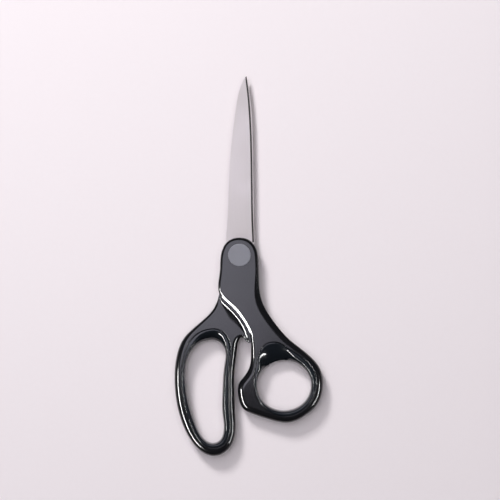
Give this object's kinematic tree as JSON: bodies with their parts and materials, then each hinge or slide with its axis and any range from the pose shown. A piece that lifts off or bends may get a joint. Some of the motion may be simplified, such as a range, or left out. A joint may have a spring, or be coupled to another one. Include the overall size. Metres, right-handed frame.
{
  "type": "office scissors",
  "caption": "Straight right-handed office scissors with slim pointed steel blades, offset moulded handles and soft-lined thumb ring and long finger bow.",
  "frame": {"origin": "where the pivot's axis meets the flat underside that the closed scissors lie on", "axes": "+Y runs along the closed blades to the tip, +X is the side of the round thumb ring, +Z points out of the front face"},
  "size_m": [0.0692, 0.1775, 0.0112],
  "materials": {
    "blade_steel": "satin stainless steel, ground lengthwise",
    "handle_plastic": "smooth satin charcoal moulded plastic",
    "grip_rubber": "glossy black soft thermoplastic rubber",
    "fastener_steel": "zinc-plated steel",
    "cap_plastic": "satin grey moulded plastic"
  },
  "bodies": {
    "back_half": {"back_blade": "blade_steel", "back_handle": "handle_plastic", "finger_bow_grip": "grip_rubber"},
    "front_half": {"front_blade": "blade_steel", "front_handle": "handle_plastic", "thumb_ring_grip": "grip_rubber", "pivot_bolt": "fastener_steel", "pivot_nut": "fastener_steel", "spring_washer": "fastener_steel", "flat_washer": "fastener_steel", "pivot_cap": "cap_plastic"}
  },
  "joints": [
    {"name": "pivot", "type": "hinge", "parent": "back_half", "child": "front_half", "pos_m": [0, 0, 0.0045], "axis": [0, 0, 1], "range_deg": [0, 130]}
  ]
}
